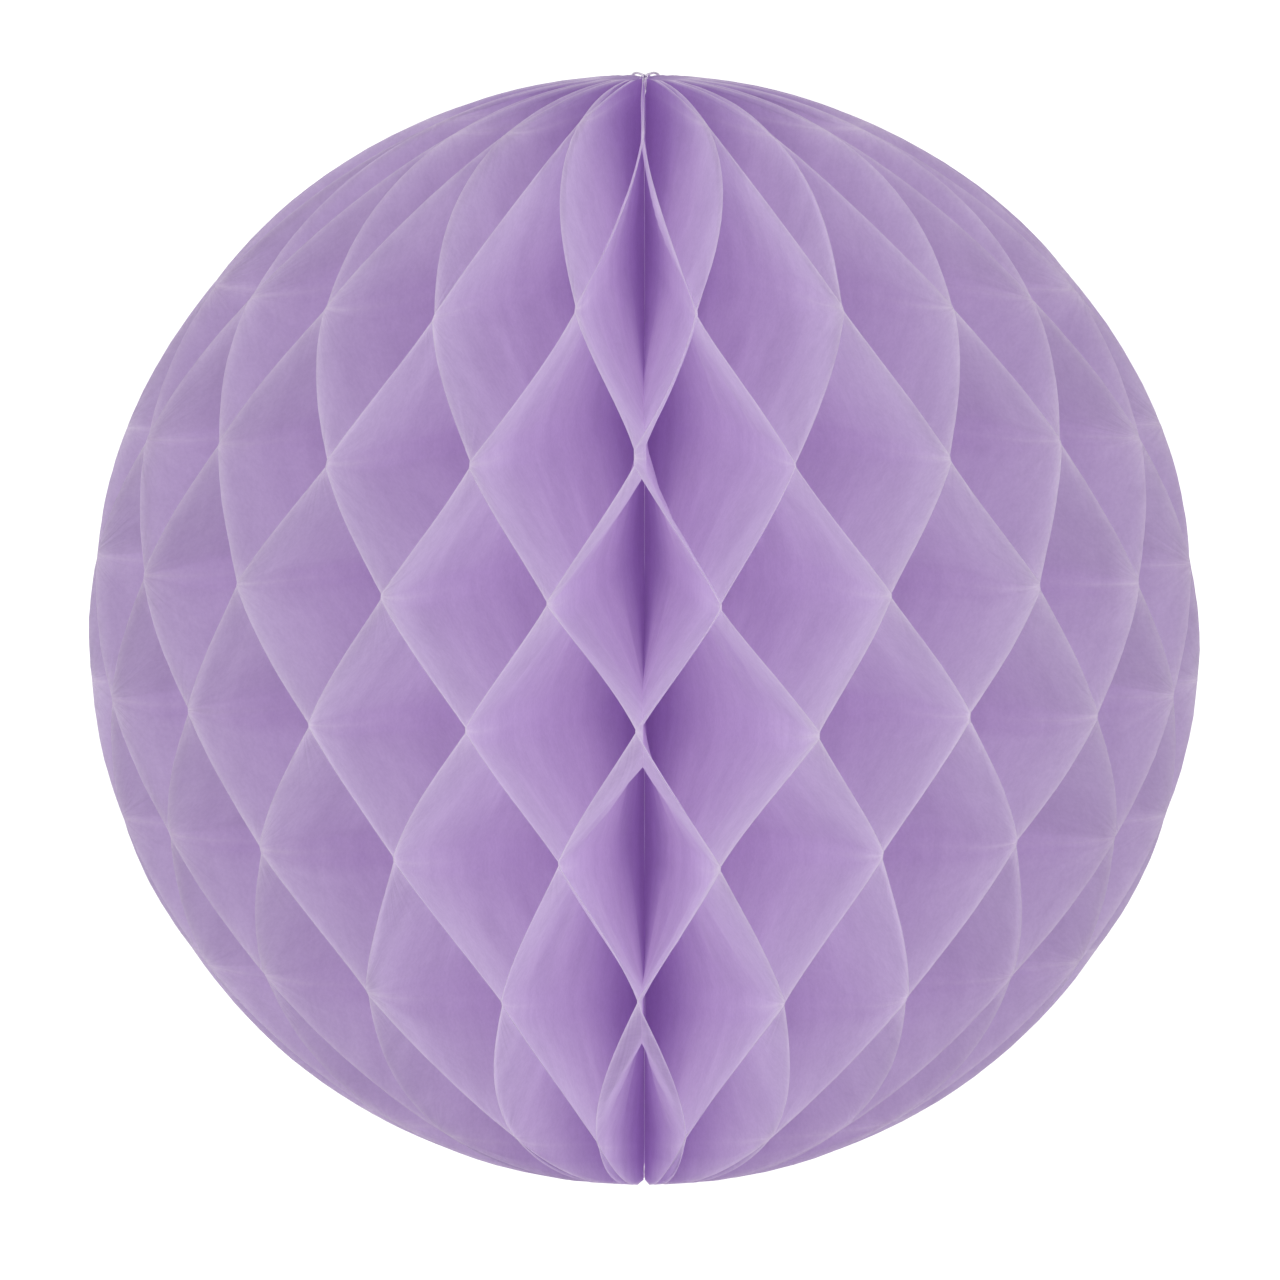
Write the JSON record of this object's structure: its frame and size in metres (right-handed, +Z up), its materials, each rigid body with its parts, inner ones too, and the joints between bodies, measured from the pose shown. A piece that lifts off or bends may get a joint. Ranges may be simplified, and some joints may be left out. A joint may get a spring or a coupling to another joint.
{
  "type": "paper honeycomb ball",
  "caption": "Hanging honeycomb ball of glued tissue paper leaves that fans open around a spine thread and folds flat between two card covers.",
  "frame": {"origin": "centre of the ball", "axes": "+Z up along the spine thread, the seam of the two covers on the +Y side, -Y the front"},
  "size_m": [0.304, 0.3044, 0.3078],
  "materials": {
    "tissue": "matte",
    "cover_card": "matte",
    "adhesive": "satin",
    "thread": "matte"
  },
  "bodies": {
    "spine_and_first_cover": {"first_cover": "cover_card", "spine_thread": "thread", "top_knot": "thread", "bottom_knot": "thread", "hanging_loop": "thread", "glue_dot_1": "adhesive", "glue_dot_2": "adhesive", "glue_dot_3": "adhesive", "glue_dot_4": "adhesive", "glue_dot_5": "adhesive", "glue_dot_6": "adhesive"},
    "leaf_01": {"tissue_leaf_01": "tissue"},
    "leaf_02": {"tissue_leaf_02": "tissue"},
    "leaf_03": {"tissue_leaf_03": "tissue"},
    "leaf_04": {"tissue_leaf_04": "tissue"},
    "leaf_05": {"tissue_leaf_05": "tissue"},
    "leaf_06": {"tissue_leaf_06": "tissue"},
    "leaf_07": {"tissue_leaf_07": "tissue"},
    "leaf_08": {"tissue_leaf_08": "tissue"},
    "leaf_09": {"tissue_leaf_09": "tissue"},
    "leaf_10": {"tissue_leaf_10": "tissue"},
    "leaf_11": {"tissue_leaf_11": "tissue"},
    "leaf_12": {"tissue_leaf_12": "tissue"},
    "leaf_13": {"tissue_leaf_13": "tissue"},
    "leaf_14": {"tissue_leaf_14": "tissue"},
    "leaf_15": {"tissue_leaf_15": "tissue"},
    "leaf_16": {"tissue_leaf_16": "tissue"},
    "leaf_17": {"tissue_leaf_17": "tissue"},
    "leaf_18": {"tissue_leaf_18": "tissue"},
    "leaf_19": {"tissue_leaf_19": "tissue"},
    "leaf_20": {"tissue_leaf_20": "tissue"},
    "leaf_21": {"tissue_leaf_21": "tissue"},
    "leaf_22": {"tissue_leaf_22": "tissue"},
    "leaf_23": {"tissue_leaf_23": "tissue"},
    "leaf_24": {"tissue_leaf_24": "tissue"},
    "leaf_25": {"tissue_leaf_25": "tissue"},
    "leaf_26": {"tissue_leaf_26": "tissue"},
    "leaf_27": {"tissue_leaf_27": "tissue"},
    "leaf_28": {"tissue_leaf_28": "tissue"},
    "leaf_29": {"tissue_leaf_29": "tissue"},
    "leaf_30": {"tissue_leaf_30": "tissue"},
    "leaf_31": {"tissue_leaf_31": "tissue"},
    "leaf_32": {"tissue_leaf_32": "tissue"},
    "leaf_33": {"tissue_leaf_33": "tissue"},
    "leaf_34": {"tissue_leaf_34": "tissue"},
    "leaf_35": {"tissue_leaf_35": "tissue"},
    "leaf_36": {"tissue_leaf_36": "tissue"},
    "leaf_37": {"tissue_leaf_37": "tissue"},
    "leaf_38": {"tissue_leaf_38": "tissue"},
    "leaf_39": {"tissue_leaf_39": "tissue"},
    "leaf_40": {"tissue_leaf_40": "tissue", "last_cover": "cover_card"}
  },
  "joints": [
    {"name": "unfold_01", "type": "hinge", "parent": "spine_and_first_cover", "child": "leaf_01", "pos_m": [0, 0, 0], "axis": [0, 0, 1], "range_deg": [-8.85, 0], "deforming": ["tissue_leaf_01"]},
    {"name": "unfold_02", "type": "hinge", "parent": "leaf_01", "child": "leaf_02", "pos_m": [0, 0, 0], "axis": [0, 0, 1], "range_deg": [-8.85, 0], "deforming": ["tissue_leaf_02"]},
    {"name": "unfold_03", "type": "hinge", "parent": "leaf_02", "child": "leaf_03", "pos_m": [0, 0, 0], "axis": [0, 0, 1], "range_deg": [-8.85, 0], "deforming": ["tissue_leaf_03"]},
    {"name": "unfold_04", "type": "hinge", "parent": "leaf_03", "child": "leaf_04", "pos_m": [0, 0, 0], "axis": [0, 0, 1], "range_deg": [-8.85, 0], "deforming": ["tissue_leaf_04"]},
    {"name": "unfold_05", "type": "hinge", "parent": "leaf_04", "child": "leaf_05", "pos_m": [0, 0, 0], "axis": [0, 0, 1], "range_deg": [-8.85, 0], "deforming": ["tissue_leaf_05"]},
    {"name": "unfold_06", "type": "hinge", "parent": "leaf_05", "child": "leaf_06", "pos_m": [0, 0, 0], "axis": [0, 0, 1], "range_deg": [-8.85, 0], "deforming": ["tissue_leaf_06"]},
    {"name": "unfold_07", "type": "hinge", "parent": "leaf_06", "child": "leaf_07", "pos_m": [0, 0, 0], "axis": [0, 0, 1], "range_deg": [-8.85, 0], "deforming": ["tissue_leaf_07"]},
    {"name": "unfold_08", "type": "hinge", "parent": "leaf_07", "child": "leaf_08", "pos_m": [0, 0, 0], "axis": [0, 0, 1], "range_deg": [-8.85, 0], "deforming": ["tissue_leaf_08"]},
    {"name": "unfold_09", "type": "hinge", "parent": "leaf_08", "child": "leaf_09", "pos_m": [0, 0, 0], "axis": [0, 0, 1], "range_deg": [-8.85, 0], "deforming": ["tissue_leaf_09"]},
    {"name": "unfold_10", "type": "hinge", "parent": "leaf_09", "child": "leaf_10", "pos_m": [0, 0, 0], "axis": [0, 0, 1], "range_deg": [-8.85, 0], "deforming": ["tissue_leaf_10"]},
    {"name": "unfold_11", "type": "hinge", "parent": "leaf_10", "child": "leaf_11", "pos_m": [0, 0, 0], "axis": [0, 0, 1], "range_deg": [-8.85, 0], "deforming": ["tissue_leaf_11"]},
    {"name": "unfold_12", "type": "hinge", "parent": "leaf_11", "child": "leaf_12", "pos_m": [0, 0, 0], "axis": [0, 0, 1], "range_deg": [-8.85, 0], "deforming": ["tissue_leaf_12"]},
    {"name": "unfold_13", "type": "hinge", "parent": "leaf_12", "child": "leaf_13", "pos_m": [0, 0, 0], "axis": [0, 0, 1], "range_deg": [-8.85, 0], "deforming": ["tissue_leaf_13"]},
    {"name": "unfold_14", "type": "hinge", "parent": "leaf_13", "child": "leaf_14", "pos_m": [0, 0, 0], "axis": [0, 0, 1], "range_deg": [-8.85, 0], "deforming": ["tissue_leaf_14"]},
    {"name": "unfold_15", "type": "hinge", "parent": "leaf_14", "child": "leaf_15", "pos_m": [0, 0, 0], "axis": [0, 0, 1], "range_deg": [-8.85, 0], "deforming": ["tissue_leaf_15"]},
    {"name": "unfold_16", "type": "hinge", "parent": "leaf_15", "child": "leaf_16", "pos_m": [0, 0, 0], "axis": [0, 0, 1], "range_deg": [-8.85, 0], "deforming": ["tissue_leaf_16"]},
    {"name": "unfold_17", "type": "hinge", "parent": "leaf_16", "child": "leaf_17", "pos_m": [0, 0, 0], "axis": [0, 0, 1], "range_deg": [-8.85, 0], "deforming": ["tissue_leaf_17"]},
    {"name": "unfold_18", "type": "hinge", "parent": "leaf_17", "child": "leaf_18", "pos_m": [0, 0, 0], "axis": [0, 0, 1], "range_deg": [-8.85, 0], "deforming": ["tissue_leaf_18"]},
    {"name": "unfold_19", "type": "hinge", "parent": "leaf_18", "child": "leaf_19", "pos_m": [0, 0, 0], "axis": [0, 0, 1], "range_deg": [-8.85, 0], "deforming": ["tissue_leaf_19"]},
    {"name": "unfold_20", "type": "hinge", "parent": "leaf_19", "child": "leaf_20", "pos_m": [0, 0, 0], "axis": [0, 0, 1], "range_deg": [-8.85, 0], "deforming": ["tissue_leaf_20"]},
    {"name": "unfold_21", "type": "hinge", "parent": "leaf_20", "child": "leaf_21", "pos_m": [0, 0, 0], "axis": [0, 0, 1], "range_deg": [-8.85, 0], "deforming": ["tissue_leaf_21"]},
    {"name": "unfold_22", "type": "hinge", "parent": "leaf_21", "child": "leaf_22", "pos_m": [0, 0, 0], "axis": [0, 0, 1], "range_deg": [-8.85, 0], "deforming": ["tissue_leaf_22"]},
    {"name": "unfold_23", "type": "hinge", "parent": "leaf_22", "child": "leaf_23", "pos_m": [0, 0, 0], "axis": [0, 0, 1], "range_deg": [-8.85, 0], "deforming": ["tissue_leaf_23"]},
    {"name": "unfold_24", "type": "hinge", "parent": "leaf_23", "child": "leaf_24", "pos_m": [0, 0, 0], "axis": [0, 0, 1], "range_deg": [-8.85, 0], "deforming": ["tissue_leaf_24"]},
    {"name": "unfold_25", "type": "hinge", "parent": "leaf_24", "child": "leaf_25", "pos_m": [0, 0, 0], "axis": [0, 0, 1], "range_deg": [-8.85, 0], "deforming": ["tissue_leaf_25"]},
    {"name": "unfold_26", "type": "hinge", "parent": "leaf_25", "child": "leaf_26", "pos_m": [0, 0, 0], "axis": [0, 0, 1], "range_deg": [-8.85, 0], "deforming": ["tissue_leaf_26"]},
    {"name": "unfold_27", "type": "hinge", "parent": "leaf_26", "child": "leaf_27", "pos_m": [0, 0, 0], "axis": [0, 0, 1], "range_deg": [-8.85, 0], "deforming": ["tissue_leaf_27"]},
    {"name": "unfold_28", "type": "hinge", "parent": "leaf_27", "child": "leaf_28", "pos_m": [0, 0, 0], "axis": [0, 0, 1], "range_deg": [-8.85, 0], "deforming": ["tissue_leaf_28"]},
    {"name": "unfold_29", "type": "hinge", "parent": "leaf_28", "child": "leaf_29", "pos_m": [0, 0, 0], "axis": [0, 0, 1], "range_deg": [-8.85, 0], "deforming": ["tissue_leaf_29"]},
    {"name": "unfold_30", "type": "hinge", "parent": "leaf_29", "child": "leaf_30", "pos_m": [0, 0, 0], "axis": [0, 0, 1], "range_deg": [-8.85, 0], "deforming": ["tissue_leaf_30"]},
    {"name": "unfold_31", "type": "hinge", "parent": "leaf_30", "child": "leaf_31", "pos_m": [0, 0, 0], "axis": [0, 0, 1], "range_deg": [-8.85, 0], "deforming": ["tissue_leaf_31"]},
    {"name": "unfold_32", "type": "hinge", "parent": "leaf_31", "child": "leaf_32", "pos_m": [0, 0, 0], "axis": [0, 0, 1], "range_deg": [-8.85, 0], "deforming": ["tissue_leaf_32"]},
    {"name": "unfold_33", "type": "hinge", "parent": "leaf_32", "child": "leaf_33", "pos_m": [0, 0, 0], "axis": [0, 0, 1], "range_deg": [-8.85, 0], "deforming": ["tissue_leaf_33"]},
    {"name": "unfold_34", "type": "hinge", "parent": "leaf_33", "child": "leaf_34", "pos_m": [0, 0, 0], "axis": [0, 0, 1], "range_deg": [-8.85, 0], "deforming": ["tissue_leaf_34"]},
    {"name": "unfold_35", "type": "hinge", "parent": "leaf_34", "child": "leaf_35", "pos_m": [0, 0, 0], "axis": [0, 0, 1], "range_deg": [-8.85, 0], "deforming": ["tissue_leaf_35"]},
    {"name": "unfold_36", "type": "hinge", "parent": "leaf_35", "child": "leaf_36", "pos_m": [0, 0, 0], "axis": [0, 0, 1], "range_deg": [-8.85, 0], "deforming": ["tissue_leaf_36"]},
    {"name": "unfold_37", "type": "hinge", "parent": "leaf_36", "child": "leaf_37", "pos_m": [0, 0, 0], "axis": [0, 0, 1], "range_deg": [-8.85, 0], "deforming": ["tissue_leaf_37"]},
    {"name": "unfold_38", "type": "hinge", "parent": "leaf_37", "child": "leaf_38", "pos_m": [0, 0, 0], "axis": [0, 0, 1], "range_deg": [-8.85, 0], "deforming": ["tissue_leaf_38"]},
    {"name": "unfold_39", "type": "hinge", "parent": "leaf_38", "child": "leaf_39", "pos_m": [0, 0, 0], "axis": [0, 0, 1], "range_deg": [-8.85, 0], "deforming": ["tissue_leaf_39"]},
    {"name": "unfold_40", "type": "hinge", "parent": "leaf_39", "child": "leaf_40", "pos_m": [0, 0, 0], "axis": [0, 0, 1], "range_deg": [-8.85, 0], "deforming": ["tissue_leaf_40"]}
  ],
  "couplings": [
    {"joint": "unfold_02", "follows": "unfold_01", "ratio": 1},
    {"joint": "unfold_03", "follows": "unfold_01", "ratio": 1},
    {"joint": "unfold_04", "follows": "unfold_01", "ratio": 1},
    {"joint": "unfold_05", "follows": "unfold_01", "ratio": 1},
    {"joint": "unfold_06", "follows": "unfold_01", "ratio": 1},
    {"joint": "unfold_07", "follows": "unfold_01", "ratio": 1},
    {"joint": "unfold_08", "follows": "unfold_01", "ratio": 1},
    {"joint": "unfold_09", "follows": "unfold_01", "ratio": 1},
    {"joint": "unfold_10", "follows": "unfold_01", "ratio": 1},
    {"joint": "unfold_11", "follows": "unfold_01", "ratio": 1},
    {"joint": "unfold_12", "follows": "unfold_01", "ratio": 1},
    {"joint": "unfold_13", "follows": "unfold_01", "ratio": 1},
    {"joint": "unfold_14", "follows": "unfold_01", "ratio": 1},
    {"joint": "unfold_15", "follows": "unfold_01", "ratio": 1},
    {"joint": "unfold_16", "follows": "unfold_01", "ratio": 1},
    {"joint": "unfold_17", "follows": "unfold_01", "ratio": 1},
    {"joint": "unfold_18", "follows": "unfold_01", "ratio": 1},
    {"joint": "unfold_19", "follows": "unfold_01", "ratio": 1},
    {"joint": "unfold_20", "follows": "unfold_01", "ratio": 1},
    {"joint": "unfold_21", "follows": "unfold_01", "ratio": 1},
    {"joint": "unfold_22", "follows": "unfold_01", "ratio": 1},
    {"joint": "unfold_23", "follows": "unfold_01", "ratio": 1},
    {"joint": "unfold_24", "follows": "unfold_01", "ratio": 1},
    {"joint": "unfold_25", "follows": "unfold_01", "ratio": 1},
    {"joint": "unfold_26", "follows": "unfold_01", "ratio": 1},
    {"joint": "unfold_27", "follows": "unfold_01", "ratio": 1},
    {"joint": "unfold_28", "follows": "unfold_01", "ratio": 1},
    {"joint": "unfold_29", "follows": "unfold_01", "ratio": 1},
    {"joint": "unfold_30", "follows": "unfold_01", "ratio": 1},
    {"joint": "unfold_31", "follows": "unfold_01", "ratio": 1},
    {"joint": "unfold_32", "follows": "unfold_01", "ratio": 1},
    {"joint": "unfold_33", "follows": "unfold_01", "ratio": 1},
    {"joint": "unfold_34", "follows": "unfold_01", "ratio": 1},
    {"joint": "unfold_35", "follows": "unfold_01", "ratio": 1},
    {"joint": "unfold_36", "follows": "unfold_01", "ratio": 1},
    {"joint": "unfold_37", "follows": "unfold_01", "ratio": 1},
    {"joint": "unfold_38", "follows": "unfold_01", "ratio": 1},
    {"joint": "unfold_39", "follows": "unfold_01", "ratio": 1},
    {"joint": "unfold_40", "follows": "unfold_01", "ratio": 1}
  ]
}
